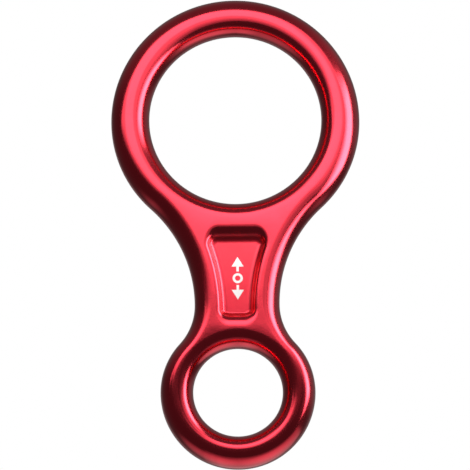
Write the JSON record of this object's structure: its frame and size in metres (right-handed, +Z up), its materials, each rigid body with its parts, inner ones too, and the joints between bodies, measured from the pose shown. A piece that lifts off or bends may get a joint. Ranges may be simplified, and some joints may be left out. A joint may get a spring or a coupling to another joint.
{
  "type": "rope descender",
  "caption": "Figure-eight rope descender: a forged body with a large rope ring, a waist with a recessed pocket in each face, and a small harness eye.",
  "frame": {"origin": "centre of the harness eye (the small hole), in the forging's parting plane", "axes": "+Z up the body from the harness eye to the rope ring, +Y through both holes from the front face, which carries the print, to the back face, +X to the right seen from the front"},
  "size_m": [0.0636, 0.012, 0.1215],
  "materials": {
    "red_anodised": "polished and red anodised, glossy on the rings, slightly satin on the waist",
    "white_print": "thin white pad-printed ink"
  },
  "bodies": {
    "root": {"forged_body": "red_anodised", "load_arrow_up": "white_print", "load_arrow_down": "white_print", "load_ring": "white_print"}
  },
  "joints": []
}
